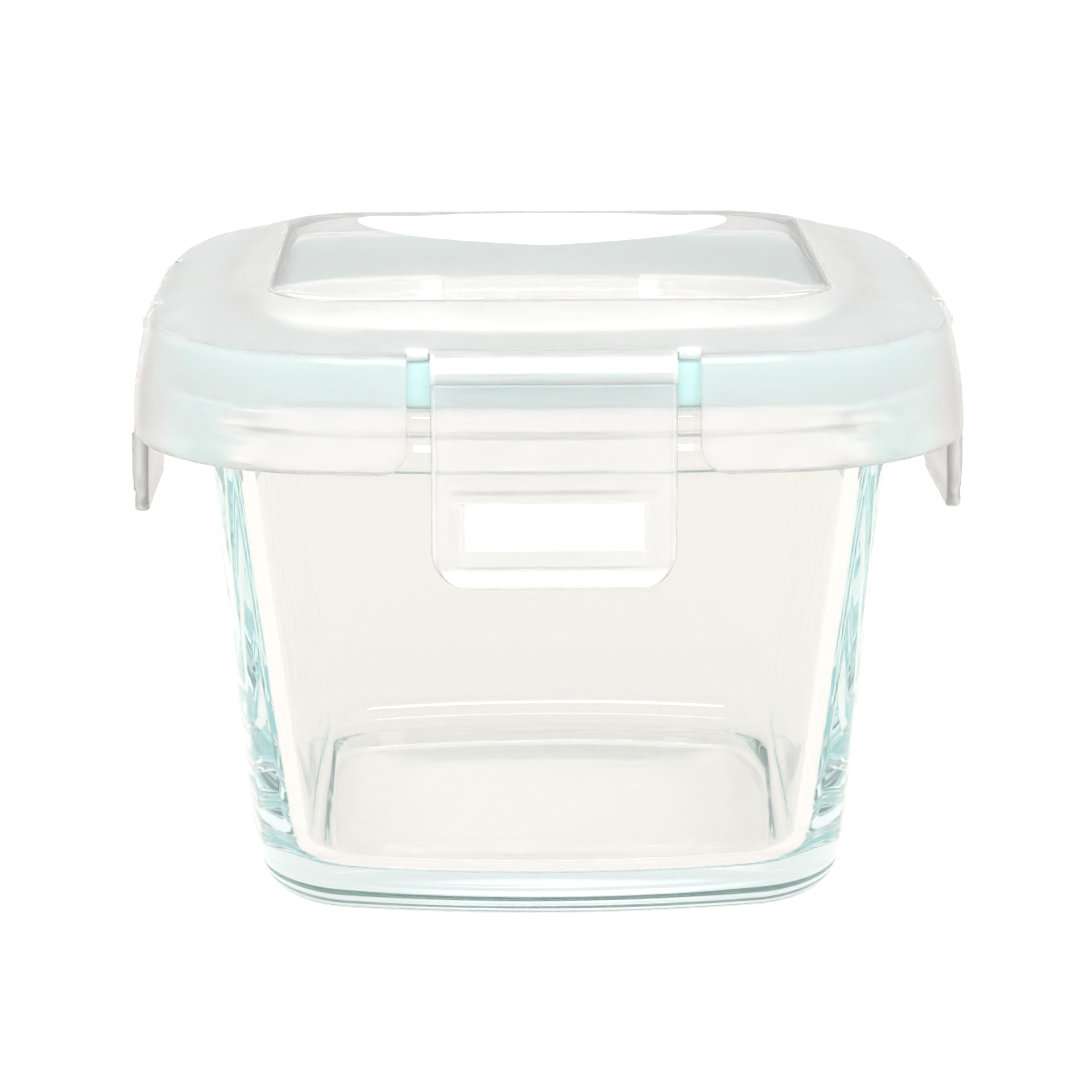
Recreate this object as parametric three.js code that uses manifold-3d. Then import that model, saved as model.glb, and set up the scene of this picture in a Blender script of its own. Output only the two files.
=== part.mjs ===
// Square glass food container with a snap-lock plastic lid and a soft sealing ring.
// Millimetres, +Z up, origin at the centre of the underside. The front faces -Y.
// The glass tapers towards its base and has a thick collar round the rim. The lid is one
// moulding: a raised centre, a shoulder, a skirt, and on each side a locking flap that
// hangs from the roof on a thin film of the same plastic, the living hinge.

import * as THREE from "three";
import { mergeVertices } from "three/addons/utils/BufferGeometryUtils.js";
import Module from "manifold-3d";

const wasm = await Module();
wasm.setup();

// Glass
const GLASS_BASE_HALF = 35.1;       // half-width of the outer wall, carried down to z = 0
const GLASS_TOP_HALF = 40.25;       // half-width of the outer wall under the collar
const GLASS_BASE_CORNER = 11.5;     // outer corner radius at the base
const GLASS_TOP_CORNER = 14.0;      // outer corner radius under the collar
const GLASS_BOW = 116;              // radius of the slightly bowed sides
const GLASS_WALL_TOP = 3.6;         // wall thickness at the rim
const GLASS_WALL_BASE = 5.6;        // the same wall, carried down to z = 0
const GLASS_FLOOR = 4.6;
const SMALLEST_CORNER = 4.5;        // no outline of the glass has a tighter corner than this
const BASE_ROUND = 5.2;             // rounding between wall and underside
const FLOOR_FILLET = 4.6;           // rounding inside, between wall and floor
const FOOT_INNER_HALF = 26.6;       // inner edge of the flat foot ring
const DISH_HALF = 14;               // flat middle of the shallow dish inside the foot ring
const DISH_DEPTH = 0.3;
const COLLAR_BOTTOM = 53.7;
const COLLAR_HALF = 45.2;
const COLLAR_CORNER = 22;
const COLLAR_BOW = 180;
const RIM_TOP = 60.7;

// Lid
const SKIRT_BOTTOM = 54.5;
const SKIRT_HALF = 48;
const LID_CORNER = 24.5;            // outer corner radius at the foot of the skirt
const LID_BOW = 180;                // radius of the bowed sides at the foot of the skirt
const SHOULDER_TOP = 67.6;
const LID_WALL = 1.3;
const ROOF_UNDERSIDE = 66.5;        // roof of the groove that holds the sealing ring
const PLATEAU_HALF = 31.9;
const PLATEAU_CORNER = 10;
const PLATEAU_TOP = 71;
const PLUG_HALF = 36.8;             // wall that reaches just inside the glass rim
const PLUG_WALL = 1.2;
const PLUG_BOTTOM = 59;
const NOTCH_HALF_WIDTH = 15.6;      // half-width of each opening that a flap hangs in
const NOTCH_FACE = 44.05;           // where the roof ends in that opening
const NOTCH_CORNER = 3;

// Sealing ring
const GAP = 0.3;                    // clearance between pieces that touch on the real one
const SEAL_OUTER = 44.2;
const SEAL_LIP = 1.7;
const SEAL_GROOVE_TOP = 64.2;

// Flaps
const FLAP_HALF_WIDTH = 13.1;
const FLAP_TOP = 64.4;
const FLAP_BOTTOM = 42;
const FLAP_CORNER = 4.2;
const RIB_HALF_WIDTH = 11;
const GRIP_HALF_WIDTH = 10.1;
const GRIP_BOTTOM = 44.7;
const GRIP_TOP = 51.3;
const GRIP_FACE = 48.25;
const FILM = 0.5;                   // thickness of the living hinge

// Fineness of the outlines
const CORNER_STEPS = 7;
const SIDE_STEPS = 4;

const MATERIALS = {
  glass: new THREE.MeshStandardMaterial({
    color: 0xe6efec, roughness: 0.03, metalness: 0, transparent: true, opacity: 0.35,
  }),
  lid: new THREE.MeshStandardMaterial({
    color: 0xeeeeec, roughness: 0.35, metalness: 0, transparent: true, opacity: 0.7,
  }),
  seal: new THREE.MeshStandardMaterial({ color: 0xd2f2ee, roughness: 0.5, metalness: 0 }),
};

// A point of a circle, angle in degrees.
function polar(x, y, radius, degrees) {
  const angle = THREE.MathUtils.degToRad(degrees);
  return [x + radius * Math.cos(angle), y + radius * Math.sin(angle)];
}

// Points along an arc from one angle to another, both ends included.
function arc(x, y, radius, from, to, steps) {
  return Array.from({ length: steps + 1 }, (_, i) => polar(x, y, radius, from + (to - from) * i / steps));
}

// A square outline with round corners and sides bowed to a large radius, anticlockwise from +X.
// half is the half-width across the middle of two sides.
function bowedSquare(half, corner, bow) {
  const inset = bow - half;
  const centre = (Math.sqrt(2 * (bow - corner) ** 2 - inset ** 2) - inset) / 2;
  const turn = THREE.MathUtils.radToDeg(Math.atan2(centre, centre + inset));
  const quarter = [
    ...arc(-inset, 0, bow, -turn, turn, SIDE_STEPS).slice(0, -1),
    ...arc(centre, centre, corner, turn, 90 - turn, CORNER_STEPS).slice(0, -1),
  ];
  const outline = [];
  for (let side = 0; side < 4; side++) {
    const spin = new THREE.Vector2();
    for (const [x, y] of quarter) {
      spin.set(x, y).rotateAround(new THREE.Vector2(), side * Math.PI / 2);
      outline.push([spin.x, spin.y]);
    }
  }
  return outline;
}

// Outlines of the glass: parallel to the wall, easing into the collar outside it.
function glassRing(half, z) {
  const rise = z / COLLAR_BOTTOM;
  const wallHalf = THREE.MathUtils.lerp(GLASS_BASE_HALF, GLASS_TOP_HALF, rise);
  const wallCorner = THREE.MathUtils.lerp(GLASS_BASE_CORNER, GLASS_TOP_CORNER, rise);
  const out = THREE.MathUtils.clamp((half - wallHalf) / (COLLAR_HALF - GLASS_TOP_HALF), 0, 1);
  const inward = Math.min(half - wallHalf, 0);
  const corner = THREE.MathUtils.lerp(wallCorner + inward, COLLAR_CORNER, out);
  const bow = THREE.MathUtils.lerp(GLASS_BOW + inward, COLLAR_BOW, out);
  return bowedSquare(half, Math.max(corner, SMALLEST_CORNER), bow).map(([x, y]) => [x, y, z]);
}

// Outlines of the lid: from the nearly straight plateau to the bowed skirt.
function lidRing(half, z) {
  const out = (half - PLATEAU_HALF) / (SKIRT_HALF - PLATEAU_HALF);
  const corner = THREE.MathUtils.lerp(PLATEAU_CORNER, LID_CORNER, out);
  return bowedSquare(half, corner, LID_BOW / Math.max(out, 0.04)).map(([x, y]) => [x, y, z]);
}

const rings = (profile, ring) => profile.map(([half, z]) => ring(half, z));

// A closed solid through a stack of rings with equal point counts. An open stack gets a flat
// fan on its first and last ring; a closed one joins its last ring to its first.
function loft(stack, closed) {
  const count = stack[0].length;
  const positions = stack.flat(2);
  const indices = [];
  const last = closed ? stack.length : stack.length - 1;
  for (let i = 0; i < last; i++) {
    const low = i * count;
    const high = ((i + 1) % stack.length) * count;
    for (let j = 0; j < count; j++) {
      const next = (j + 1) % count;
      indices.push(low + j, low + next, high + next, low + j, high + next, high + j);
    }
  }
  if (!closed) {
    const top = (stack.length - 1) * count;
    const centre = stack.length * count;
    positions.push(0, 0, stack[0][0][2], 0, 0, stack.at(-1)[0][2]);
    for (let j = 0; j < count; j++) {
      const next = (j + 1) % count;
      indices.push(centre, next, j, centre + 1, top + j, top + next);
    }
  }
  const geometry = new THREE.BufferGeometry();
  geometry.setAttribute("position", new THREE.Float32BufferAttribute(positions, 3));
  geometry.setIndex(indices);
  return geometry;
}

// A shape drawn in (y, z) and pushed along +X from x0 to x1.
function alongX(shape, x0, x1, curveSegments = 6) {
  const geometry = new THREE.ExtrudeGeometry(shape, { depth: x1 - x0, bevelEnabled: false, curveSegments });
  const axes = new THREE.Matrix4().makeBasis(
    new THREE.Vector3(0, 1, 0), new THREE.Vector3(0, 0, 1), new THREE.Vector3(1, 0, 0));
  return geometry.applyMatrix4(axes).translate(x0, 0, 0);
}

// A profile drawn in (x, z) and pushed along Y, centred, with the given half-width.
function alongY(points, halfWidth) {
  const shape = new THREE.Shape(points.map(([x, z]) => new THREE.Vector2(x, z)));
  const geometry = new THREE.ExtrudeGeometry(shape, { depth: 2 * halfWidth, bevelEnabled: false });
  return geometry.translate(0, 0, -halfWidth).rotateX(Math.PI / 2);
}

function solid(geometry) {
  const bare = geometry.clone();
  bare.deleteAttribute("normal");
  bare.deleteAttribute("uv");
  const merged = mergeVertices(bare, 1e-4);
  return new wasm.Manifold(new wasm.Mesh({
    numProp: 3,
    vertProperties: merged.attributes.position.array,
    triVerts: new Uint32Array(merged.index.array),
  }));
}

function geometryOf(manifold) {
  const mesh = manifold.getMesh();
  const geometry = new THREE.BufferGeometry();
  geometry.setAttribute("position", new THREE.BufferAttribute(mesh.vertProperties, 3));
  geometry.setIndex(new THREE.BufferAttribute(mesh.triVerts, 1));
  return geometry;
}

// Half-widths of the straight wall, outside and inside, and how far each leans from vertical.
const wallAt = (z) => THREE.MathUtils.lerp(GLASS_BASE_HALF, GLASS_TOP_HALF, z / COLLAR_BOTTOM);
const insideAt = (z) => wallAt(z) - THREE.MathUtils.lerp(GLASS_WALL_BASE, GLASS_WALL_TOP, z / RIM_TOP);
const leanOf = (halfAt) => THREE.MathUtils.radToDeg(Math.atan(halfAt(1) - halfAt(0)));
const WALL_LEAN = leanOf(wallAt);
const INSIDE_LEAN = leanOf(insideAt);

// The profile runs from the middle of the underside, out and up the wall, over the rim and
// down the inside to the floor.
function glassContainer() {
  const baseCentre = wallAt(BASE_ROUND) - BASE_ROUND / Math.cos(THREE.MathUtils.degToRad(WALL_LEAN));
  const filletHeight = GLASS_FLOOR + FLOOR_FILLET;
  const filletCentre = insideAt(filletHeight) - FLOOR_FILLET / Math.cos(THREE.MathUtils.degToRad(INSIDE_LEAN));
  const collarEdge = 1.0;
  const rimEdge = 0.9;
  const profile = [
    [DISH_HALF, DISH_DEPTH],
    [FOOT_INNER_HALF, 0],
    ...arc(baseCentre, BASE_ROUND, BASE_ROUND, -90, -WALL_LEAN, 5),
    [wallAt(COLLAR_BOTTOM - 1), COLLAR_BOTTOM - 1],
    [GLASS_TOP_HALF + 0.8, COLLAR_BOTTOM - 0.1],
    ...arc(COLLAR_HALF - collarEdge, COLLAR_BOTTOM + collarEdge, collarEdge, -90, 0, 3),
    [COLLAR_HALF, 56.6],
    [COLLAR_HALF - 0.55, 57.3],
    [COLLAR_HALF - 0.6, 58.1],
    [COLLAR_HALF - 0.25, 58.8],
    ...arc(COLLAR_HALF - 0.2 - rimEdge, RIM_TOP - rimEdge, rimEdge, 0, 90, 3),
    ...arc(insideAt(RIM_TOP) + rimEdge, RIM_TOP - rimEdge, rimEdge, 90, 180, 3),
    ...arc(filletCentre, filletHeight, FLOOR_FILLET, -INSIDE_LEAN, -90, 5),
  ];
  return loft(rings(profile, glassRing), false);
}

// One opening in the skirt, cut out of the +X side, with round lower corners left on the skirt.
function notchCutter() {
  const shape = new THREE.Shape();
  const flare = NOTCH_HALF_WIDTH + NOTCH_CORNER;
  const arcHeight = SKIRT_BOTTOM + NOTCH_CORNER;
  shape.moveTo(-NOTCH_HALF_WIDTH, PLATEAU_TOP);
  shape.lineTo(-NOTCH_HALF_WIDTH, arcHeight);
  shape.absarc(-flare, arcHeight, NOTCH_CORNER, 0, -Math.PI / 2, true);
  shape.lineTo(-flare, SKIRT_BOTTOM - NOTCH_CORNER);
  shape.lineTo(flare, SKIRT_BOTTOM - NOTCH_CORNER);
  shape.absarc(flare, arcHeight, NOTCH_CORNER, -Math.PI / 2, -Math.PI, true);
  shape.lineTo(NOTCH_HALF_WIDTH, PLATEAU_TOP);
  return solid(alongX(shape, NOTCH_FACE, SKIRT_HALF + 2, 4));
}

// The profile runs from the middle of the underside, down and up the plug wall, across the
// seal groove, down inside the skirt, up outside it and over the shoulder to the plateau.
function lidShell() {
  const edge = 0.3;
  const plugInner = PLUG_HALF - PLUG_WALL;
  const under = [
    ...rings([[PLATEAU_HALF - 1.1, PLATEAU_TOP - LID_WALL], [PLATEAU_HALF, PLATEAU_TOP - LID_WALL - 0.2]], lidRing),
    ...rings([
      [plugInner, SHOULDER_TOP],
      [plugInner, PLUG_BOTTOM + edge],
      [plugInner + edge, PLUG_BOTTOM],
      [PLUG_HALF - edge, PLUG_BOTTOM],
      [PLUG_HALF, PLUG_BOTTOM + edge],
      [PLUG_HALF, ROOF_UNDERSIDE],
    ], glassRing),
  ];
  const skirt = [
    [44.6, ROOF_UNDERSIDE],
    [45.2, 64.6],
    [45.95, 61.3],
    [46.5, 57.9],
    [SKIRT_HALF - LID_WALL, SKIRT_BOTTOM + edge],
    [SKIRT_HALF - LID_WALL + edge, SKIRT_BOTTOM],
    [SKIRT_HALF - edge, SKIRT_BOTTOM],
    [SKIRT_HALF, SKIRT_BOTTOM + edge],
    [47.8, 57.9],
    [47.25, 61.3],
    [46.5, 64.6],
    ...arc(44.9, SHOULDER_TOP - 1.2, 1.2, 12, 78, 4),
  ];
  const shoulder = [[42.5, 68.2], [38.4, 69.05], [37.2, 69.3], [36.2, 69.6], [33.6, 70.5]];
  const plateauEdge = arc(PLATEAU_HALF - 0.4, PLATEAU_TOP - 1, 1, 60, 90, 2);
  const outside = rings([...skirt, ...shoulder, ...plateauEdge], lidRing);
  let shell = solid(loft([...under, ...outside], false));
  for (let side = 0; side < 4; side++) {
    shell = shell.subtract(notchCutter().rotate([0, 0, side * 90]));
  }
  return geometryOf(shell);
}

// The sealing ring fills the groove under the roof and stands on the glass rim. It has a
// groove of its own that opens downwards between two lips.
function sealingRing() {
  const bottom = RIM_TOP + GAP;
  const top = ROOF_UNDERSIDE - GAP;
  const inner = PLUG_HALF + GAP;
  const edge = 0.4;
  const outerFace = rings([
    [SEAL_OUTER - SEAL_LIP, bottom],
    [SEAL_OUTER - edge, bottom],
    [SEAL_OUTER, bottom + edge],
    [SEAL_OUTER, top - edge],
    [SEAL_OUTER - edge, top],
  ], lidRing);
  const innerFace = rings([
    [inner + edge, top],
    [inner, top - edge],
    [inner, bottom + edge],
    [inner + edge, bottom],
    [inner + SEAL_LIP, bottom],
    [inner + SEAL_LIP, SEAL_GROOVE_TOP],
  ], glassRing);
  const grooveOuter = rings([[SEAL_OUTER - SEAL_LIP, SEAL_GROOVE_TOP]], lidRing);
  return loft([...outerFace, ...innerFace, ...grooveOuter], true);
}

// A locking flap on the +X side: a slightly curved panel with round lower corners, a locking
// rib inside that faces the underside of the collar, a grip pad and a turned-out lower lip.
function lockingFlap() {
  const outerFace = [
    [46.05, FLAP_TOP], [46.5, 62.6], [46.9, 60.8], [47.25, 58.4], [47.5, 55.4], [47.65, 51.5], [47.7, 44.6],
    [47.95, 43.5], [48.0, 42.7], [47.85, 42.2], [47.4, FLAP_BOTTOM],
  ];
  const innerFace = [
    [46.6, 42.1], [46.2, 43], [46.05, 49.5], [46, 53.7], [45.9, 56.5], [45.75, 58.9], [45.5, 60.8],
    [45.15, 62.6], [44.75, FLAP_TOP],
  ];
  const panel = solid(alongY([...outerFace, ...innerFace], FLAP_HALF_WIDTH + 1));

  const outline = new THREE.Shape();
  const arcHeight = FLAP_BOTTOM - 0.01 + FLAP_CORNER;
  const arcSide = FLAP_HALF_WIDTH - FLAP_CORNER;
  outline.moveTo(FLAP_HALF_WIDTH, FLAP_TOP + 1);
  outline.lineTo(-FLAP_HALF_WIDTH, FLAP_TOP + 1);
  outline.absarc(-arcSide, arcHeight, FLAP_CORNER, Math.PI, 1.5 * Math.PI, false);
  outline.absarc(arcSide, arcHeight, FLAP_CORNER, 1.5 * Math.PI, 2 * Math.PI, false);

  const ribTip = COLLAR_HALF + GAP;
  const rib = solid(alongY([
    [46.6, 51.7], [46.6, 53.6], [ribTip, 53.5], [ribTip, 52.8],
  ], RIB_HALF_WIDTH));

  const grip = new THREE.Shape([
    new THREE.Vector2(-GRIP_HALF_WIDTH, GRIP_BOTTOM),
    new THREE.Vector2(GRIP_HALF_WIDTH, GRIP_BOTTOM),
    new THREE.Vector2(GRIP_HALF_WIDTH, GRIP_TOP),
    new THREE.Vector2(-GRIP_HALF_WIDTH, GRIP_TOP),
  ]);
  const pad = solid(alongX(grip, 47, GRIP_FACE));
  return geometryOf(panel.intersect(solid(alongX(outline, 40, 50))).add(rib).add(pad));
}

// The living hinge on the +X side: a film that arches from the roof's edge to the flap's top.
function hingeFilm() {
  const outside = [[44.35, 67.45], [44.9, 67.25], [45.35, 66.75], [46.1, 65.5], [46.2, FLAP_TOP + GAP]];
  const inside = [[45.7, FLAP_TOP + GAP], [45.6, 65.4], [45, 66.45], [44.7, 66.8], [44.35, 67.45 - FILM]];
  return alongY([...outside, ...inside].reverse(), FLAP_HALF_WIDTH);
}

function piece(name, geometry, material) {
  const mesh = new THREE.Mesh(geometry, material);
  mesh.name = name;
  return mesh;
}

const container = new THREE.Group();
container.add(piece("glass_container", glassContainer(), MATERIALS.glass));
container.add(piece("lid_shell", lidShell(), MATERIALS.lid));
container.add(piece("sealing_ring", sealingRing(), MATERIALS.seal));

const SIDES = { right: 0, back: 90, left: 180, front: 270 };
for (const [side, degrees] of Object.entries(SIDES)) {
  const group = new THREE.Group();
  group.rotation.z = THREE.MathUtils.degToRad(degrees);
  group.add(piece(`flap_${side}`, lockingFlap(), MATERIALS.lid));
  group.add(piece(`hinge_${side}`, hingeFilm(), MATERIALS.lid));
  container.add(group);
}

export default container;
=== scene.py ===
"""The looks of a square glass food container with a snap-lock lid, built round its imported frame.

Sizes are in millimetres, in the frame's own axes: +Z up, front towards -Y. Meshes are written in metres.
Profiles are lists of (half-width, height). The half-width is measured across the middle of a side.
In the names, HALF is such a half-width, CORNER a corner's radius, BOW the radius that a side is bowed
to, ROUND the radius of an edge and RAMP the width of a soft border.
"""

from math import atan2, cos, degrees, pi, radians, sin, sqrt

import bpy
from mathutils import Matrix, Vector, noise


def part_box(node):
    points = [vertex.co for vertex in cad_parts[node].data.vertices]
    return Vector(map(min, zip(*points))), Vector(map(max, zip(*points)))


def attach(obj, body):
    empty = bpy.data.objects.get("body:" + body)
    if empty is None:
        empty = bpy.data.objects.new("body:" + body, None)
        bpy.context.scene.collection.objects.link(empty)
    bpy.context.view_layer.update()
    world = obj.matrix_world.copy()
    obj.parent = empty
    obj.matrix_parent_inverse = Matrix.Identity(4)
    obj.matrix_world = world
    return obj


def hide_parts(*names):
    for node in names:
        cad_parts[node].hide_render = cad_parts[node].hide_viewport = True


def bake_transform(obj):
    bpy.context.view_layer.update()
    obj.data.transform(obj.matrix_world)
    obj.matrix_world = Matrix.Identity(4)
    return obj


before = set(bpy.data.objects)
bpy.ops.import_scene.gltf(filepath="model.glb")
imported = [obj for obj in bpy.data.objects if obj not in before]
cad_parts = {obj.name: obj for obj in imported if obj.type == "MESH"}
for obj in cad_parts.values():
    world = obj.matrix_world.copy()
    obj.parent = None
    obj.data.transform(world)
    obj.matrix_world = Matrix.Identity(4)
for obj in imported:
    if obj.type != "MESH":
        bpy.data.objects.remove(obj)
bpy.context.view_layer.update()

MM = 0.001


def corners_mm(node):
    low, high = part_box(node)
    return low / MM, high / MM


_, glass_high = corners_mm("glass_container")
lid_low, lid_high = corners_mm("lid_shell")
seal_low, seal_high = corners_mm("sealing_ring")
flap_low, flap_high = corners_mm("flap_right")
film_low, _ = corners_mm("hinge_right")

# Glass
COLLAR_HALF = glass_high.x
RIM_TOP = glass_high.z
COLLAR_BOTTOM = RIM_TOP - 7
GLASS_BASE_HALF = 35.1
GLASS_TOP_HALF = 40.25
GLASS_BASE_CORNER = 11.5
GLASS_TOP_CORNER = 14.0
GLASS_BOW = 116
GLASS_WALL_TOP = 3.6
GLASS_WALL_BASE = 5.6
GLASS_FLOOR = 4.6
SMALLEST_CORNER = 4.5
BASE_ROUND = 5.2
FLOOR_FILLET = 4.6
FOOT_INNER_HALF = 26.6
DISH_HALF = 14.0
DISH_DEPTH = 0.3
COLLAR_CORNER = 22
COLLAR_BOW = 180
COLLAR_ROUND = 1.2
COLLAR_WAIST_DEPTH = 0.6
COLLAR_WAIST_HEIGHT = 3.0
RIM_INSET = 0.2
RIM_ROUND = 0.9

# Waves of the pressed glass: their depth, their length, and the heights where they fade
RIPPLE_INSIDE = 0.08
RIPPLE_OUTSIDE = 0.05
RIPPLE_LENGTH = 18.0
RIPPLE_SEED = 1
RIPPLE_ABOVE = 0.2
RIPPLE_ABOVE_FROM = 14
RIPPLE_ABOVE_OVER = 16
RIPPLE_FOOT_FROM = 1.5
RIPPLE_FOOT_OVER = 3

# Lid
SKIRT_BOTTOM = lid_low.z
SKIRT_HALF = 48
LID_CORNER = 24.5
LID_BOW = 180
LID_WALL = 1.3
PLATEAU_TOP = lid_high.z
PLATEAU_HALF = 31.9
PLATEAU_CORNER = 10
PLATEAU_CROWN = 0.3
SHOULDER_TOP = PLATEAU_TOP - 3.4
ROOF_UNDERSIDE = seal_high.z + 0.3
PLUG_HALF = 36.8
PLUG_WALL = 1.2
PLUG_BOTTOM = RIM_TOP - 1.7
NOTCH_HALF_WIDTH = 15.6
NOTCH_FACE = film_low.x - 0.3
NOTCH_CORNER = 3
NOTCH_REACH = SKIRT_HALF + 3
NOTCH_MARGIN = 5

# Profiles of the lid: half-widths on the raised centre, then the skirt inside and out, and the roof
CENTRE_HALVES = [1, 6, 11, 16, 21, 26, 29, 30.3]
SKIRT_INSIDE = [
    (44.3, ROOF_UNDERSIDE),
    (44.55, ROOF_UNDERSIDE - 0.2),
    (44.75, 65.9),
    (45.2, 64.6),
    (45.6, 63.0),
    (45.95, 61.3),
    (46.27, 59.6),
    (46.5, 57.9),
    (46.65, 56.2),
]
SKIRT_OUTSIDE = [
    (47.97, 56.2),
    (47.8, 57.9),
    (47.57, 59.6),
    (47.25, 61.3),
    (46.85, 63.0),
    (46.47, 64.4),
]
ROOF = [
    (43.2, 68.08),
    (42.5, 68.22),
    (41.9, 68.4),
    (41.0, 68.55),
    (39.6, 68.8),
    (38.4, 69.03),
    (37.4, 69.25),
    (36.4, 69.53),
    (35.2, 69.9),
    (34.0, 70.2),
    (33.0, 70.45),
]

# Sealing ring
SEAL_OUTER = seal_high.x
SEAL_INNER = PLUG_HALF + 0.3
SEAL_LIP = 1.7
SEAL_GROOVE_TOP = seal_high.z - 2
SEAL_ROUND = 0.5
SEAL_WAIST = 0.12

# Flaps
FLAP_HALF_WIDTH = flap_high.y
FLAP_TOP = flap_high.z
FLAP_BOTTOM = flap_low.z
FLAP_CORNER = 4.2
GRIP_HALF_WIDTH = 10.1
GRIP_BOTTOM = FLAP_BOTTOM + 2.7
GRIP_TOP = FLAP_BOTTOM + 9.3
GRIP_HEIGHT = 0.5
GRIP_RAMP = 0.35
GRIP_FADE = 2.2
GRIP_FADED = 0.25
LOCK_DEPTH = 0.3
LOCK_HALF_WIDTH = 11
LOCK_BOTTOM = 52.8
LOCK_TOP = 53.45
LOCK_RAMP = 0.9
SIDE_RAMP = 0.3
FLAP_ROUND = 0.55
FLAP_THINNEST = 0.12
FILM = 0.5
FILM_START = film_low.x
FILM_ROOF_Z = 67.45
FILM_UPPER_BEND = (44.2, 66.1, 1.35)
FILM_LOWER_BEND = (45.08, 64.88, 1.2)
FILM_UPPER_FACING = 85
FILM_MIDDLE_FACING = 30
FILM_LOWER_FACING = -14
FILM_LOWER_X = 46.1

SIDES = {"right": 0, "back": 90, "left": 180, "front": 270}


# Outlines

CORNER_STEPS = 32
SIDE_STEPS = 20
LARGEST_CORNER_SHARE = 0.6  # of the half-width, on the smallest outlines
STRAIGHTEST = 0.04  # keeps the bow's radius finite on the plateau


def mix(a, b, t):
    return a + (b - a) * t


def clamp(value, low=0.0, high=1.0):
    return max(low, min(high, value))


def smooth(value):
    t = clamp(value)
    return t * t * (3 - 2 * t)


def arc(x, y, radius, start, end, steps):
    """Points along an arc, angles in degrees, both ends included."""
    angles = [radians(mix(start, end, i / steps)) for i in range(steps + 1)]
    return [(x + radius * cos(a), y + radius * sin(a)) for a in angles]


def bowed_square(half, corner, bow):
    """A square outline with round corners and slightly bowed sides, anticlockwise from +X."""
    corner = min(corner, LARGEST_CORNER_SHARE * half)
    inset = bow - half
    centre = (sqrt(2 * (bow - corner) ** 2 - inset**2) - inset) / 2
    turn = degrees(atan2(centre, centre + inset))
    quarter = arc(-inset, 0, bow, -turn, turn, SIDE_STEPS)[:-1]
    quarter += arc(centre, centre, corner, turn, 90 - turn, CORNER_STEPS)[:-1]
    outline = []
    for _ in range(4):
        outline += quarter
        quarter = [(-y, x) for x, y in quarter]
    return outline


def glass_ring(half, z):
    """An outline of the glass: parallel to the wall, easing into the collar outside it."""
    rise = z / COLLAR_BOTTOM
    wall = mix(GLASS_BASE_HALF, GLASS_TOP_HALF, rise)
    out = clamp((half - wall) / (COLLAR_HALF - GLASS_TOP_HALF))
    inward = min(half - wall, 0)
    corner = mix(mix(GLASS_BASE_CORNER, GLASS_TOP_CORNER, rise) + inward, COLLAR_CORNER, out)
    bow = mix(GLASS_BOW + inward, COLLAR_BOW, out)
    return [(x, y, z) for x, y in bowed_square(half, max(corner, SMALLEST_CORNER), bow)]


def lid_ring(half, z):
    """An outline of the lid: from the nearly straight plateau to the bowed skirt."""
    out = clamp((half - PLATEAU_HALF) / (SKIRT_HALF - PLATEAU_HALF))
    corner = mix(PLATEAU_CORNER, LID_CORNER, out)
    return [(x, y, z) for x, y in bowed_square(half, corner, LID_BOW / max(out, STRAIGHTEST))]


def rings(profile, ring):
    return [ring(half, z) for half, z in profile]


# Meshes


def new_object(name, points, faces, material, sharp=180):
    mesh = bpy.data.meshes.new(name)
    mesh.from_pydata([(x * MM, y * MM, z * MM) for x, y, z in points], [], faces)
    mesh.validate()
    mesh.polygons.foreach_set("use_smooth", [True] * len(mesh.polygons))
    if sharp < 180:
        mesh.set_sharp_from_angle(angle=radians(sharp))
    mesh.materials.append(material)
    obj = bpy.data.objects.new(name, mesh)
    bpy.context.scene.collection.objects.link(obj)
    return obj


def loft(stack, closed):
    """Points and faces of a closed solid through rings of equal point counts. An open stack gets
    a flat fan on its first and last ring; a closed one joins its last ring to its first."""
    count = len(stack[0])
    points = [p for ring in stack for p in ring]
    faces = []
    for i in range(len(stack) if closed else len(stack) - 1):
        low = i * count
        high = (i + 1) % len(stack) * count
        for j in range(count):
            k = (j + 1) % count
            faces.append((low + j, low + k, high + k, high + j))
    if not closed:
        top = (len(stack) - 1) * count
        points += [(0, 0, stack[0][0][2]), (0, 0, stack[-1][0][2])]
        middle = len(points) - 2
        for j in range(count):
            k = (j + 1) % count
            faces.append((middle, k, j))
            faces.append((middle + 1, top + j, top + k))
    return points, faces


def wall_at(z):
    return mix(GLASS_BASE_HALF, GLASS_TOP_HALF, z / COLLAR_BOTTOM)


def inside_at(z):
    return wall_at(z) - mix(GLASS_WALL_BASE, GLASS_WALL_TOP, z / RIM_TOP)


def steps(start, end, count):
    """Evenly spaced numbers between two ends, both left out."""
    return [mix(start, end, (i + 1) / (count + 1)) for i in range(count)]


LEAN_SPAN = 50
WALL_LEAN = degrees(atan2(wall_at(LEAN_SPAN) - wall_at(0), LEAN_SPAN))
INSIDE_LEAN = degrees(atan2(inside_at(LEAN_SPAN) - inside_at(0), LEAN_SPAN))


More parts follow.
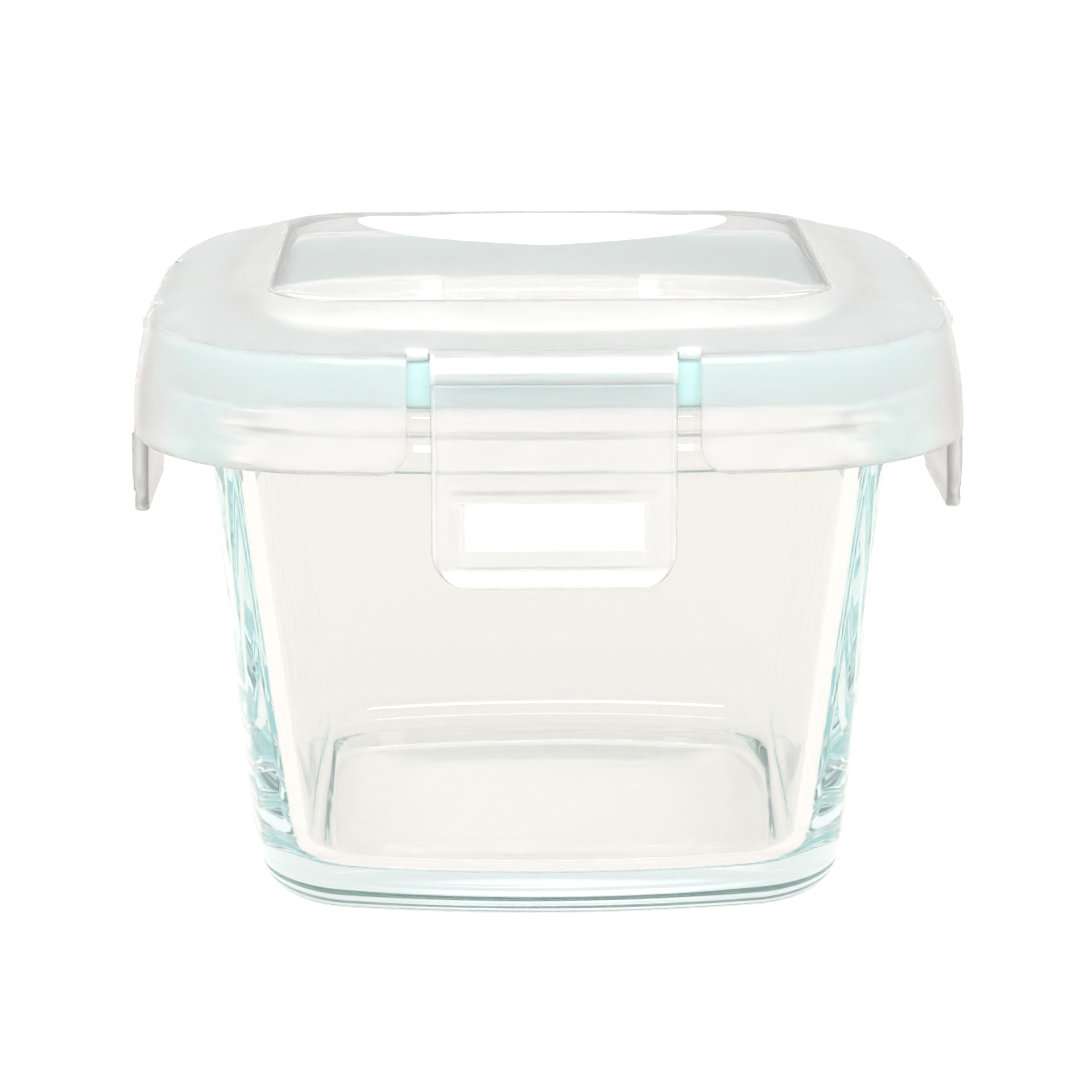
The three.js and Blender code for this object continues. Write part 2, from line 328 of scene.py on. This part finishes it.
def glass_profile():
    """From the middle of the underside, out and up the wall, over the rim and down to the floor."""
    base_centre = wall_at(BASE_ROUND) - BASE_ROUND / cos(radians(WALL_LEAN))
    fillet_height = GLASS_FLOOR + FLOOR_FILLET
    fillet_centre = inside_at(fillet_height) - FLOOR_FILLET / cos(radians(INSIDE_LEAN))
    neck = COLLAR_BOTTOM - COLLAR_ROUND
    lip = COLLAR_BOTTOM + COLLAR_ROUND
    waist = COLLAR_BOTTOM + 2 * COLLAR_ROUND
    rim_outer = COLLAR_HALF - RIM_INSET
    rim_inner = inside_at(RIM_TOP)
    profile = [(half, DISH_DEPTH) for half in (2, 5, 8, 11)]
    for i in range(9):
        half = mix(DISH_HALF, FOOT_INNER_HALF, i / 8)
        profile.append((half, DISH_DEPTH * (1 - smooth(i / 8))))
    profile += arc(base_centre, BASE_ROUND, BASE_ROUND, -90, -WALL_LEAN, 20)
    profile += [(wall_at(z), z) for z in steps(BASE_ROUND, neck, 24)]
    profile += arc(wall_at(neck) + COLLAR_ROUND, neck, COLLAR_ROUND, 180 - WALL_LEAN, 95, 6)
    profile += arc(COLLAR_HALF - COLLAR_ROUND, lip, COLLAR_ROUND, -88, 0, 8)
    for t in steps(0, 1, 12):
        half = COLLAR_HALF - COLLAR_WAIST_DEPTH * sin(pi * t) ** 2
        profile.append((half, waist + COLLAR_WAIST_HEIGHT * t))
    profile += arc(rim_outer - RIM_ROUND, RIM_TOP - RIM_ROUND, RIM_ROUND, 0, 90, 8)
    profile += arc(rim_inner + RIM_ROUND, RIM_TOP - RIM_ROUND, RIM_ROUND, 90, 180 - INSIDE_LEAN, 8)
    profile += [(inside_at(z), z) for z in steps(RIM_TOP - RIM_ROUND, fillet_height, 26)]
    profile += arc(fillet_centre, fillet_height, FLOOR_FILLET, -INSIDE_LEAN, -90, 20)
    profile += [(half, GLASS_FLOOR) for half in steps(fillet_centre, 0, 12)]
    return profile


def ripple(point, depth, length):
    """Moves a point by smooth noise, as the surface of pressed glass is never quite true."""
    x, y, z = point
    shift = noise.noise_vector(Vector(point) / length) * depth
    return x + shift.x, y + shift.y, z + shift.z


def pressed(points):
    """The points of the glass with the slight waves of its moulded faces. They are slighter on the
    upper walls and the rim, and fade out on the foot ring, where the glass is true."""
    moved = []
    for point in points:
        inside = max(abs(point[0]), abs(point[1])) < inside_at(point[2]) + 0.5
        above = mix(1, RIPPLE_ABOVE, smooth((point[2] - RIPPLE_ABOVE_FROM) / RIPPLE_ABOVE_OVER))
        fade = above * smooth((point[2] - RIPPLE_FOOT_FROM) / RIPPLE_FOOT_OVER)
        moved.append(ripple(point, (RIPPLE_INSIDE if inside else RIPPLE_OUTSIDE) * fade, RIPPLE_LENGTH))
    return moved


def crowned(half, top):
    """Height of the very slightly domed centre of the lid."""
    return top - PLATEAU_CROWN * (half / PLATEAU_HALF) ** 2


def lid_stack():
    """From the middle of the underside, round the plug wall and the seal groove, down inside the
    skirt, up outside it and over the shoulder to the plateau."""
    plug_inner = PLUG_HALF - PLUG_WALL
    ceiling = PLATEAU_TOP - LID_WALL
    plug_round = PLUG_WALL / 2
    foot_round = LID_WALL / 2
    slope = [(PLATEAU_HALF - 0.6, ceiling - 0.45), (PLATEAU_HALF + 0.8, ceiling - 0.9)]
    inside = [(plug_inner - 0.6, SHOULDER_TOP + 0.15), (plug_inner, SHOULDER_TOP - 0.6)]
    inside += [(plug_inner, z) for z in (66, 63, 61, PLUG_BOTTOM + 0.5)]
    plug = arc(plug_inner + plug_round, PLUG_BOTTOM + 0.5, plug_round, 180, 360, 8)
    plug += [(PLUG_HALF, z) for z in (61, 63, 65)]
    plug += arc(PLUG_HALF + 0.3, ROOF_UNDERSIDE - 0.3, 0.3, 180, 90, 4)
    foot = arc(SKIRT_HALF - foot_round, SKIRT_BOTTOM + 0.5, foot_round, 180, 360, 8)
    shoulder = arc(43.9, SHOULDER_TOP - 2.35, 2.3, 17, 78, 10)
    centre = arc(PLATEAU_HALF - 0.3, PLATEAU_TOP - PLATEAU_CROWN - 0.6, 0.6, 62, 90, 4)
    centre += [(half, crowned(half, PLATEAU_TOP)) for half in reversed(CENTRE_HALVES)]
    stack = rings([(half, crowned(half, ceiling)) for half in CENTRE_HALVES] + slope, lid_ring)
    stack += rings(inside + plug, glass_ring)
    return stack + rings(SKIRT_INSIDE + foot + SKIRT_OUTSIDE + shoulder + ROOF + centre, lid_ring)


def notch_cutter(turn):
    """A block that cuts one flap opening out of the skirt, leaving round lower corners on it."""
    flare = NOTCH_HALF_WIDTH + NOTCH_CORNER
    height = SKIRT_BOTTOM + NOTCH_CORNER
    left = arc(-flare, height, NOTCH_CORNER, 0, -90, 10)
    right = arc(flare, height, NOTCH_CORNER, -90, -180, 10)
    above, below = PLATEAU_TOP + NOTCH_MARGIN, SKIRT_BOTTOM - NOTCH_MARGIN
    outline = [(-NOTCH_HALF_WIDTH, above)] + left + [(-flare, below), (flare, below)]
    outline += right + [(NOTCH_HALF_WIDTH, above)]
    count = len(outline)
    points = [(x, y, z) for x in (NOTCH_FACE, NOTCH_REACH) for y, z in outline]
    faces = [tuple(range(count - 1, -1, -1)), tuple(range(count, 2 * count))]
    faces += [(i, (i + 1) % count, (i + 1) % count + count, i + count) for i in range(count)]
    cutter = new_object("cutter", points, faces, bpy.data.materials.new("cutter"))
    cutter.data.transform(Matrix.Rotation(turn, 4, "Z"))
    bpy.context.view_layer.update()
    return cutter


def apply_modifiers(obj):
    graph = bpy.context.evaluated_depsgraph_get()
    mesh = bpy.data.meshes.new_from_object(obj.evaluated_get(graph))
    old = obj.data
    obj.modifiers.clear()
    obj.data = mesh
    bpy.data.meshes.remove(old)


def cut_notches(lid):
    for degrees_round in SIDES.values():
        cutter = notch_cutter(radians(degrees_round))
        boolean = lid.modifiers.new("notch", "BOOLEAN")
        boolean.operation = "DIFFERENCE"
        boolean.solver = "EXACT"
        boolean.object = cutter
        apply_modifiers(lid)
        block = cutter.data
        bpy.data.objects.remove(cutter)
        bpy.data.meshes.remove(block)


def seal_stack():
    """Round the section of the ring: up its outer face, down its inner face and up its groove."""
    edge = SEAL_ROUND
    bottom, top = seal_low.z, seal_high.z
    groove_outer, groove_inner = SEAL_OUTER - SEAL_LIP, SEAL_INNER + SEAL_LIP
    outer = [(groove_outer, bottom)] + arc(SEAL_OUTER - edge, bottom + edge, edge, -90, 0, 5)
    for t in (0.25, 0.4, 0.5, 0.6, 0.75):
        outer.append((SEAL_OUTER - SEAL_WAIST * sin(pi * t) ** 2, mix(bottom + edge, top - edge, t)))
    outer += arc(SEAL_OUTER - edge, top - edge, edge, 0, 90, 5)
    inner = arc(SEAL_INNER + edge, top - edge, edge, 90, 180, 5)
    inner += arc(SEAL_INNER + edge, bottom + edge, edge, 180, 270, 5)
    inner += [(groove_inner, bottom), (groove_inner, SEAL_GROOVE_TOP)]
    last = [(groove_outer, SEAL_GROOVE_TOP)]
    return rings(outer, lid_ring) + rings(inner, glass_ring) + rings(last, lid_ring)


def along(table, z):
    """Linear look-up in a list of (x, z) that runs down in z."""
    for (x0, z0), (x1, z1) in zip(table, table[1:]):
        if z >= z1:
            return mix(x0, x1, clamp((z0 - z) / (z0 - z1)))
    return table[-1][0]


FLAP_OUTER = [
    (46.05, 64.4), (46.3, 63.5), (46.52, 62.6), (46.92, 60.8), (47.14, 59.4), (47.25, 58.4),
    (47.38, 57), (47.5, 55.4), (47.58, 53.5), (47.64, 51.5), (47.68, 48), (47.7, 44.6),
    (47.8, 44.0), (47.95, 43.4), (48.0, 42.7), (47.95, 42),
]
FLAP_INNER = [
    (44.75, 64.4), (44.95, 63.5), (45.15, 62.6), (45.5, 60.8), (45.66, 59.8), (45.75, 58.9),
    (45.85, 57.6), (45.92, 56.5), (46.0, 53.7), (46.05, 49.5), (46.2, 43.5), (46.3, 42),
]


def band(value, low, high, ramp):
    """1 between low and high, easing to 0 over the ramp outside them."""
    return smooth((value - low) / ramp + 1) * smooth((high - value) / ramp + 1)


def flap_out(y, z):
    """How far the grip pad stands proud of the panel."""
    across = band(y, -GRIP_HALF_WIDTH, GRIP_HALF_WIDTH, SIDE_RAMP)
    crown = 1 - GRIP_FADED * smooth((GRIP_BOTTOM + GRIP_FADE - z) / GRIP_FADE)
    return GRIP_HEIGHT * across * band(z, GRIP_BOTTOM, GRIP_TOP, GRIP_RAMP) * crown


def flap_in(y, z):
    """How far the locking rib stands in from the panel."""
    across = band(y, -LOCK_HALF_WIDTH, LOCK_HALF_WIDTH, SIDE_RAMP)
    return LOCK_DEPTH * across * band(z, LOCK_BOTTOM, LOCK_TOP, LOCK_RAMP)


def flap_columns():
    """Places across the flap's flat face, from -1 to 1, closer together at the grip pad's sides."""
    edge = [-1, -0.97, -0.93, -0.88, -0.83, -0.795, -0.785, -0.775, -0.765, -0.755, -0.74, -0.69]
    return edge + [i / 12 for i in range(-7, 8)] + [-c for c in reversed(edge)]


def flap_heights():
    """Heights down the flap, close together at its ends, the locking rib and the grip pad."""
    heights = [FLAP_TOP - FLAP_ROUND * (1 - cos(radians(a))) for a in (0, 30, 60, 90)]
    heights += [mix(FLAP_TOP - FLAP_ROUND - 0.4, 54.5, i / 15) for i in range(16)]
    heights += [mix(54.35, 51.9, i / 14) for i in range(15)]
    heights += [51.75, 51.62, 51.5, 51.4, 51.3, 51.1, 50.5, 49.5, 48.5, 47.5, 46.8]
    heights += [FLAP_BOTTOM + FLAP_CORNER * (1 - sin(radians(a))) for a in range(0, 91, 3)]
    return sorted(set(round(h, 4) for h in heights), reverse=True)


def flap_mesh():
    """Closed cross-sections of the panel, stacked from its top to its bottom lip."""
    columns = flap_columns()
    stack = []
    for z in flap_heights():
        rise = z - FLAP_BOTTOM
        half = FLAP_HALF_WIDTH
        if rise < FLAP_CORNER:
            half -= FLAP_CORNER - sqrt(FLAP_CORNER**2 - (FLAP_CORNER - rise) ** 2)
        end = min(FLAP_TOP - z, rise)
        thick = sqrt(clamp(1 - (1 - clamp(end / FLAP_ROUND)) ** 2)) if end < FLAP_ROUND else 1
        thick = max(thick, FLAP_THINNEST)
        outer, inner = along(FLAP_OUTER, z), along(FLAP_INNER, z)
        middle = (outer + inner) / 2
        outer, inner = mix(middle, outer, thick), mix(middle, inner, thick)
        radius = (outer - inner) / 2
        flat = half - radius
        ring = [(outer + flap_out(c * flat, z), c * flat) for c in columns]
        ring += arc(middle, flat, radius, 0, 180, 8)[1:-1]
        ring += [(inner - flap_in(c * flat, z), c * flat) for c in reversed(columns)]
        ring += arc(middle, -flat, radius, 180, 360, 8)[1:-1]
        stack.append([(x, y, z) for x, y in ring])
    count = len(stack[0])
    points = [p for ring in stack for p in ring]
    faces = []
    for i in range(len(stack) - 1):
        low = i * count
        for j in range(count):
            k = (j + 1) % count
            faces.append((low + j, low + count + j, low + count + k, low + k))
    last = (len(stack) - 1) * count
    faces.append(tuple(range(count)))
    faces.append(tuple(last + j for j in reversed(range(count))))
    return points, faces


def film_mesh():
    """The living hinge: a film that arches from the roof's edge down to the flap."""
    upper, middle, lower = FILM_UPPER_FACING, FILM_MIDDLE_FACING, FILM_LOWER_FACING
    bend = arc(*FILM_UPPER_BEND, upper, middle, 10) + arc(*FILM_LOWER_BEND, middle, lower, 8)
    facing = [mix(upper, middle, i / 10) for i in range(11)]
    facing += [mix(middle, lower, i / 8) for i in range(9)]
    back = [(x - FILM * cos(radians(a)), z - FILM * sin(radians(a))) for (x, z), a in zip(bend, facing)]
    start, foot = NOTCH_FACE - 0.2, FLAP_TOP - 0.3
    outside = [(start, FILM_ROOF_Z)] + bend + [(FILM_LOWER_X, foot)]
    inside = [(start, FILM_ROOF_Z - FILM)] + back + [(FILM_LOWER_X - FILM, foot)]
    profile = outside + inside[::-1]
    widths = [-1, -0.985, -0.95] + [i / 10 for i in range(-9, 10)] + [0.95, 0.985, 1]
    stack = [[(x, w * FLAP_HALF_WIDTH, z) for x, z in profile] for w in widths]
    count = len(profile)
    points = [p for ring in stack for p in ring]
    faces = []
    for i in range(len(stack) - 1):
        low = i * count
        for j in range(count):
            k = (j + 1) % count
            faces.append((low + j, low + k, low + count + k, low + count + j))
    last = (len(stack) - 1) * count
    faces.append(tuple(reversed(range(count))))
    faces.append(tuple(last + j for j in range(count)))
    return points, faces


# Materials

GLASS_COLOUR = (0.9, 0.897, 0.888, 1)
GLASS_TINT = (0.06, 0.91, 0.93, 1)
GLASS_TINT_DENSITY = 1.6
PLASTIC_COLOUR = (0.995, 0.998, 0.993, 1)
SATIN = 0.18
MATT = 0.45
POLISHED = 0.015
CLEAR = 0.985
# Whitening of thicker plastic and of painted highlights on the flaps and the roof's cut ends, and the
# painted highlight's share on the flaps' side edges
THICK_AND_HIGHLIGHT_WHITENING = 0.45
SIDE_EDGE_HIGHLIGHT_SHARE = 0.4
PLASTIC_SCATTER = 0.002
PLASTIC_BLOTCHES = 6
PLASTIC_DIMPLES = 5
PLASTIC_DIMPLE_DEPTH = 0.012
SILICONE_COLOUR = (0.7, 0.995, 0.985, 1)
SILICONE_SCATTER = 0.0015
SILICONE_BLOTCHES = 2
SILICONE_GRAIN = 0.8
SILICONE_GRAIN_DEPTH = 0.01
FLOOR_COLOUR = (0.09, 0.09, 0.09, 1)
FLOOR_GLOW = (1, 0.96, 0.925, 1)
FLOOR_GLOW_STRENGTH = 1.02


def material(name, **settings):
    made = bpy.data.materials.new(name)
    made.use_nodes = True
    shader = made.node_tree.nodes["Principled BSDF"]
    for key, value in settings.items():
        shader.inputs[key.replace("_", " ")].default_value = value
    return made, made.node_tree, shader


def glass_material():
    """Polished glass, with a teal tint that only shows where the glass is thick."""
    made, tree, shader = material("pressed_glass", Base_Color=GLASS_COLOUR, Roughness=0.0, IOR=1.51)
    shader.inputs["Transmission Weight"].default_value = 1
    volume = tree.nodes.new("ShaderNodeVolumeAbsorption")
    volume.inputs["Color"].default_value = GLASS_TINT
    volume.inputs["Density"].default_value = GLASS_TINT_DENSITY
    tree.links.new(volume.outputs[0], tree.nodes["Material Output"].inputs["Volume"])
    return made


def add_node(tree, kind, inputs=(), **settings):
    """A shader node. Each input is a constant or another node's output."""
    node = tree.nodes.new(kind)
    for key, value in settings.items():
        setattr(node, key, value)
    for key, value in dict(inputs).items():
        if isinstance(value, bpy.types.NodeSocket):
            tree.links.new(value, node.inputs[key])
        else:
            node.inputs[key].default_value = value
    return node


def position(tree):
    return add_node(tree, "ShaderNodeTexCoord").outputs["Object"]


def blotches(tree, scale_mm, detail=2.0):
    """Smooth noise from 0 to 1 whose blobs are about scale_mm across."""
    settings = {"Vector": position(tree), "Scale": 1 / (scale_mm * MM), "Detail": detail}
    return add_node(tree, "ShaderNodeTexNoise", settings).outputs["Fac"]


def remap(tree, value, low, high, to_low, to_high):
    ranges = {"Value": value, "From Min": low, "From Max": high, "To Min": to_low, "To Max": to_high}
    return add_node(tree, "ShaderNodeMapRange", ranges).outputs[0]


def maths(tree, operation, a, b=0.0):
    return add_node(tree, "ShaderNodeMath", {0: a, 1: b}, operation=operation).outputs[0]


def slab(tree, value, low, high, ramp):
    """1 where a coordinate lies between two heights or distances in mm, easing to 0 outside them."""
    rise = remap(tree, value, (low - ramp) * MM, low * MM, 0.0, 1.0)
    fall = remap(tree, value, high * MM, (high + ramp) * MM, 1.0, 0.0)
    return maths(tree, "MULTIPLY", rise, fall)


def folded_position(tree):
    """Three outputs: the larger and the smaller of |x| and |y|, and z."""
    split = add_node(tree, "ShaderNodeSeparateXYZ", {0: position(tree)})
    x = maths(tree, "ABSOLUTE", split.outputs["X"])
    y = maths(tree, "ABSOLUTE", split.outputs["Y"])
    return maths(tree, "MAXIMUM", x, y), maths(tree, "MINIMUM", x, y), split.outputs["Z"]


def length_of(tree, x, y):
    flat = add_node(tree, "ShaderNodeCombineXYZ", {0: x, 1: y, 2: 0.0}).outputs[0]
    return add_node(tree, "ShaderNodeVectorMath", {0: flat}, operation="LENGTH").outputs["Value"]


def product(tree, a, b):
    return maths(tree, "MULTIPLY", a, b)


def clear_mask(tree, half, across, height):
    """1 on the polished parts of the lid, its raised centre and plug wall, and 0 elsewhere."""
    edge = PLATEAU_TOP - PLATEAU_CROWN
    top_height = slab(tree, height, edge - 0.02, PLATEAU_TOP + 1, 0.08)
    top = product(tree, top_height, slab(tree, half, 0, PLATEAU_HALF - 1, 0.5))
    reach = length_of(tree, half, across)
    ceiling_height = slab(tree, height, edge - LID_WALL - 0.05, PLATEAU_TOP - LID_WALL + 0.1, 0.1)
    ceiling_square = slab(tree, half, 0, PLATEAU_HALF, 0.3)
    ceiling_round = slab(tree, reach, 0, PLATEAU_HALF * 1.3, 0.5)
    ceiling = product(tree, ceiling_height, product(tree, ceiling_square, ceiling_round))
    plug_half = slab(tree, half, 0, PLUG_HALF + 0.2, 0.4)
    plug = product(tree, plug_half, slab(tree, height, 0, SHOULDER_TOP - 0.8, 0.6))
    return maths(tree, "MAXIMUM", maths(tree, "MAXIMUM", top, ceiling), plug)


def roof_mask(tree, height):
    """1 on the matt roof and slope between the raised centre and the skirt."""
    return slab(tree, height, SHOULDER_TOP - 0.2, PLATEAU_TOP - PLATEAU_CROWN - 0.2, 0.4)


def thick_and_highlight_mask(tree, half, across, height):
    """1 where the plastic is made whiter, partly for thicker plastic and partly as a painted highlight:
    the upper part of the grip pad and the lower lip of each flap, which are thicker and catch the light,
    and the side edges of each flap and the cut end of the roof in each flap opening, which are painted
    highlights."""
    outside = slab(tree, half, flap_high.x - 0.42, flap_high.x + 1, 0.12)
    # The painted highlight covers only the pad's upper part, which faces the light; its lower part,
    # curving under, is left out and stays darker.
    pad = slab(tree, height, GRIP_BOTTOM + 2, GRIP_TOP + 0.1, 0.3)
    lip = slab(tree, height, 0, GRIP_BOTTOM - 0.4, 0.3)
    middle = slab(tree, across, 0, GRIP_HALF_WIDTH - 0.8, 0.3)
    grip = product(tree, outside, maths(tree, "MAXIMUM", product(tree, pad, middle), lip))
    end_half = slab(tree, half, NOTCH_FACE - 0.3, NOTCH_FACE + 0.1, 0.1)
    end = product(tree, end_half, slab(tree, across, FLAP_HALF_WIDTH + 0.3, NOTCH_HALF_WIDTH, 0.1))
    edge_half = slab(tree, half, FILM_START, SKIRT_HALF + 2, 0.1)
    edge_across = slab(tree, across, FLAP_HALF_WIDTH - 0.3, FLAP_HALF_WIDTH + 0.1, 0.3)
    edge = product(tree, product(tree, edge_half, edge_across), SIDE_EDGE_HIGHLIGHT_SHARE)
    return maths(tree, "MAXIMUM", maths(tree, "MAXIMUM", grip, end), edge)


def add_bump(tree, shader, height, depth_mm, strength=1.0):
    """Fine unevenness of a moulded surface. The height goes from 0 to 1."""
    settings = {"Height": height, "Distance": depth_mm * MM, "Strength": strength}
    bump = add_node(tree, "ShaderNodeBump", settings)
    tree.links.new(bump.outputs[0], shader.inputs["Normal"])


def lid_material(name, see_through, roof_see_through):
    """Milky plastic that lets a share of the light straight through and scatters the rest: nearly
    clear on its polished parts, matt on the roof, and whiter where it is thick and where highlights are
    painted."""
    made, tree, shader = material(name, Base_Color=PLASTIC_COLOUR, IOR=1.4)
    half, across, height = folded_position(tree)
    clear = clear_mask(tree, half, across, height)
    thick = thick_and_highlight_mask(tree, half, across, height)
    uneven = remap(tree, blotches(tree, PLASTIC_BLOTCHES), 0.3, 0.7, 0.93, 1.07)
    roof = roof_mask(tree, height)
    satin = remap(tree, roof, 0, 1, SATIN, MATT)
    rough = add_node(tree, "ShaderNodeMix", {0: clear, 2: satin, 3: POLISHED}).outputs[0]
    tree.links.new(maths(tree, "MULTIPLY", rough, uneven), shader.inputs["Roughness"])
    milky = remap(tree, roof, 0, 1, see_through, roof_see_through)
    passing = add_node(tree, "ShaderNodeMix", {0: clear, 2: milky, 3: CLEAR}).outputs[0]
    # Less light passes straight through where the plastic is thick and where highlights are painted, so
    # those places scatter whiter.
    passing = maths(tree, "SUBTRACT", passing, maths(tree, "MULTIPLY", thick, THICK_AND_HIGHLIGHT_WHITENING))
    tree.links.new(passing, shader.inputs["Transmission Weight"])
    shader.inputs["Subsurface Weight"].default_value = 1
    shader.inputs["Subsurface Radius"].default_value = (1, 1, 1)
    shader.inputs["Subsurface Scale"].default_value = PLASTIC_SCATTER
    dimples = blotches(tree, PLASTIC_DIMPLES)
    add_bump(tree, shader, dimples, PLASTIC_DIMPLE_DEPTH, maths(tree, "SUBTRACT", 1.0, clear))
    return made


def seal_material():
    """Soft aqua silicone, slightly uneven in gloss, that light scatters through."""
    made, tree, shader = material("aqua_silicone", Base_Color=SILICONE_COLOUR, IOR=1.42)
    shader.inputs["Transmission Weight"].default_value = 0.05
    shader.inputs["Subsurface Weight"].default_value = 1
    shader.inputs["Subsurface Radius"].default_value = (0.8, 1, 1)
    shader.inputs["Subsurface Scale"].default_value = SILICONE_SCATTER
    gloss = remap(tree, blotches(tree, SILICONE_BLOTCHES), 0.3, 0.7, 0.3, 0.42)
    tree.links.new(gloss, shader.inputs["Roughness"])
    add_bump(tree, shader, blotches(tree, SILICONE_GRAIN), SILICONE_GRAIN_DEPTH)
    return made


GLASS = glass_material()
PLASTIC = lid_material("milky_polypropylene", 0.68, 0.56)
FLAP_PLASTIC = lid_material("milky_polypropylene_flap", 0.72, 0.72)
FILM_PLASTIC = lid_material("milky_polypropylene_film", 0.5, 0.5)
SILICONE = seal_material()


# The object

noise.seed_set(RIPPLE_SEED)
glass_points, glass_faces = loft(rings(glass_profile(), glass_ring), False)
glass = new_object("glass_bowl", pressed(glass_points), glass_faces, GLASS)
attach(glass, "container")
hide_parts("glass_container")

lid = new_object("lid_moulding", *loft(lid_stack(), False), PLASTIC)
cut_notches(lid)
lid.data.materials.clear()
lid.data.materials.append(PLASTIC)
lid.data.polygons.foreach_set("material_index", [0] * len(lid.data.polygons))
lid.data.polygons.foreach_set("use_smooth", [True] * len(lid.data.polygons))
lid.data.set_sharp_from_angle(angle=radians(40))
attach(lid, "lid")
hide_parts("lid_shell")

seal = new_object("seal", *loft(seal_stack(), True), SILICONE)
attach(seal, "lid")
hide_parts("sealing_ring")

for side, degrees_round in SIDES.items():
    turn = Matrix.Rotation(radians(degrees_round), 4, "Z")
    flap = new_object(f"locking_flap_{side}", *flap_mesh(), FLAP_PLASTIC)
    flap.data.transform(turn)
    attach(flap, f"flap_{side}")
    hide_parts(f"flap_{side}")

    film = new_object(f"living_hinge_{side}", *film_mesh(), FILM_PLASTIC, sharp=50)
    film.data.transform(turn)
    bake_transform(film)
    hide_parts(f"hinge_{side}")


# Camera: a long lens that looks down at the front from a little above the lid

CAMERA_DISTANCE = 440.0
CAMERA_HEIGHT = 143.0
CAMERA_SIDE = -0.8
CAMERA_PITCH = 13.67
CAMERA_YAW = 0.89
CAMERA_ROLL = 0.13
FOCAL_LENGTH = 126.55
SENSOR_WIDTH = 36

FLOOR_HALF_METRES = 6.0
FLOOR_Z_METRES = -0.0002
GLOW_ELEVATION = 17
SKY_COLOUR = (1.0, 0.99, 0.98, 1)
BOUNCES = 80
DIFFUSE_BOUNCES = 20


def add_camera():
    lens = bpy.data.cameras.new("camera")
    lens.lens = FOCAL_LENGTH
    lens.sensor_width = SENSOR_WIDTH
    lens.clip_start = 0.01
    lens.clip_end = 50
    camera = bpy.data.objects.new("camera", lens)
    bpy.context.scene.collection.objects.link(camera)
    yaw = Matrix.Rotation(radians(-CAMERA_YAW), 4, "Z")
    place = Matrix.Translation(Vector((CAMERA_SIDE, -CAMERA_DISTANCE, CAMERA_HEIGHT)) * MM)
    tilt = Matrix.Rotation(radians(90 - CAMERA_PITCH), 4, "X")
    roll = Matrix.Rotation(radians(-CAMERA_ROLL), 4, "Z")
    camera.matrix_world = yaw @ place @ tilt @ roll
    bpy.context.scene.camera = camera


def add_softbox(name, place, target, size, watts, shape="RECTANGLE"):
    """An area light that faces a target. Places and sizes are in metres."""
    lamp = bpy.data.lights.new(name, "AREA")
    lamp.shape = shape
    lamp.size, lamp.size_y = size
    lamp.energy = watts
    obj = bpy.data.objects.new(name, lamp)
    obj.location = place
    obj.rotation_euler = (Vector(target) - Vector(place)).to_track_quat("-Z", "Y").to_euler()
    bpy.context.scene.collection.objects.link(obj)
    return obj


def floor_material():
    """White paper lit so brightly that it shows no shadow."""
    made, _, shader = material("white_paper", Base_Color=FLOOR_COLOUR, Roughness=0.9)
    shader.inputs["Specular IOR Level"].default_value = 0
    shader.inputs["Emission Color"].default_value = FLOOR_GLOW
    shader.inputs["Emission Strength"].default_value = FLOOR_GLOW_STRENGTH
    return made


def add_stage():
    half = FLOOR_HALF_METRES / MM
    corners = [(-half, -half, 0), (half, -half, 0), (half, half, 0), (-half, half, 0)]
    floor = new_object("floor", corners, [(0, 1, 2, 3)], floor_material())
    floor.location.z = FLOOR_Z_METRES


def add_world():
    """A bright room: a little darker low down behind the camera, a little brighter at the sides,
    and with a soft glow behind the object that the top of the lid mirrors."""
    world = bpy.data.worlds.new("studio")
    bpy.context.scene.world = world
    world.use_nodes = True
    tree = world.node_tree
    direction = add_node(tree, "ShaderNodeTexCoord").outputs["Generated"]
    split = add_node(tree, "ShaderNodeSeparateXYZ", {0: direction})
    overhead = remap(tree, split.outputs["Z"], 0.1, 0.7, 0.98, 1.0)
    in_front = remap(tree, split.outputs["Y"], 0.3, -0.6, 0, 1)
    low = remap(tree, split.outputs["Z"], 0.15, 0.5, 1, 0)
    dim = maths(tree, "MULTIPLY", in_front, low)
    level = maths(tree, "MULTIPLY", overhead, remap(tree, dim, 0, 1, 1, 0.95))
    aside = remap(tree, maths(tree, "ABSOLUTE", split.outputs["X"]), 0.3, 0.8, 0.0, 0.12)
    level = maths(tree, "ADD", level, aside)
    behind = (0.0, cos(radians(GLOW_ELEVATION)), sin(radians(GLOW_ELEVATION)))
    away = add_node(tree, "ShaderNodeVectorMath", {0: direction, 1: behind}, operation="DISTANCE")
    glow = remap(tree, away.outputs["Value"], 0.02, 0.15, 0.5, 0.0)
    level = maths(tree, "ADD", level, glow)
    sky = tree.nodes["Background"]
    sky.inputs["Color"].default_value = SKY_COLOUR
    tree.links.new(level, sky.inputs["Strength"])


add_camera()
add_stage()
add_world()
add_softbox("front_softbox", (0, -0.72, 0.78), (0, 0, 0.05), size=(0.6, 0.3), watts=5.0)
place, target = (0.019, 1.2, 0.234), (0, 0, 0.07)
panel = add_softbox("low_back_panel", place, target, size=(0.165, 0.05), watts=0.03, shape="ELLIPSE")
panel.visible_transmission = False
bpy.context.scene.view_settings.view_transform = "Standard"
bpy.context.scene.cycles.max_bounces = BOUNCES
bpy.context.scene.cycles.diffuse_bounces = DIFFUSE_BOUNCES
bpy.context.scene.cycles.glossy_bounces = BOUNCES
bpy.context.scene.cycles.transmission_bounces = BOUNCES
